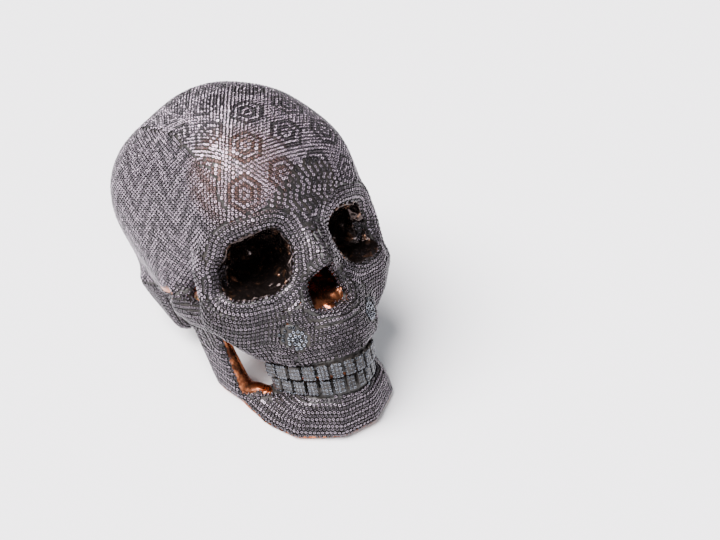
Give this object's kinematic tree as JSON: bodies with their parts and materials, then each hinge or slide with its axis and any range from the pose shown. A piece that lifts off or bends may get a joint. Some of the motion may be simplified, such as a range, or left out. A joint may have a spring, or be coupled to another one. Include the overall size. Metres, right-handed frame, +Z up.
{
  "type": "beaded skull figure",
  "caption": "Life-size skull in copper-painted resin with a hinged jaw, covered outside in dark metallic seed beads pressed into wax; it rests on its jaw and occiput.",
  "frame": {"origin": "on the table under the middle of the skull's bounding box", "axes": "+Z up; -Y is the way the face looks; +X is the skull's own left"},
  "size_m": [0.1332, 0.2284, 0.1596],
  "materials": {
    "copper_cast": "resin with worn copper paint",
    "leaf": "crumpled dark bronze leaf, glossy",
    "dark_beads": "gunmetal seed beads in dark wax",
    "pale_beads": "blue-grey seed beads in dark wax",
    "pin_steel": "plain steel pin",
    "bush_brass": "turned brass"
  },
  "bodies": {
    "cranium": {"cranium_casting": "copper_cast", "socket_lining_right": "leaf", "socket_lining_left": "leaf", "forehead_beads": "dark_beads", "crown_beads": "dark_beads", "occiput_beads": "dark_beads", "temple_beads_right": "dark_beads", "temple_beads_left": "dark_beads", "side_beads_right": "dark_beads", "side_beads_left": "dark_beads", "eye_rim_beads_right": "dark_beads", "eye_rim_beads_left": "dark_beads", "nose_bridge_beads": "dark_beads", "nose_rim_beads": "dark_beads", "cheek_beads_right": "dark_beads", "cheek_beads_left": "dark_beads", "cheek_flower_right": "pale_beads", "cheek_flower_left": "pale_beads", "arch_beads_right": "dark_beads", "arch_beads_left": "dark_beads", "mastoid_beads_right": "dark_beads", "mastoid_beads_left": "dark_beads", "upper_jaw_beads": "dark_beads", "upper_teeth_beads": "pale_beads", "hinge_bush_right": "bush_brass", "hinge_bush_left": "bush_brass"},
    "jaw": {"jaw_casting": "copper_cast", "chin_beads": "dark_beads", "jaw_side_beads_right": "dark_beads", "jaw_side_beads_left": "dark_beads", "ramus_beads_right": "dark_beads", "ramus_beads_left": "dark_beads", "lower_teeth_beads": "pale_beads", "hinge_pin_right": "pin_steel", "hinge_pin_left": "pin_steel"}
  },
  "joints": [
    {"name": "jaw_hinge", "type": "hinge", "parent": "cranium", "child": "jaw", "pos_m": [0, -0.00399, 0.04554], "axis": [1, 0, 0], "range_deg": [0, 22]}
  ]
}
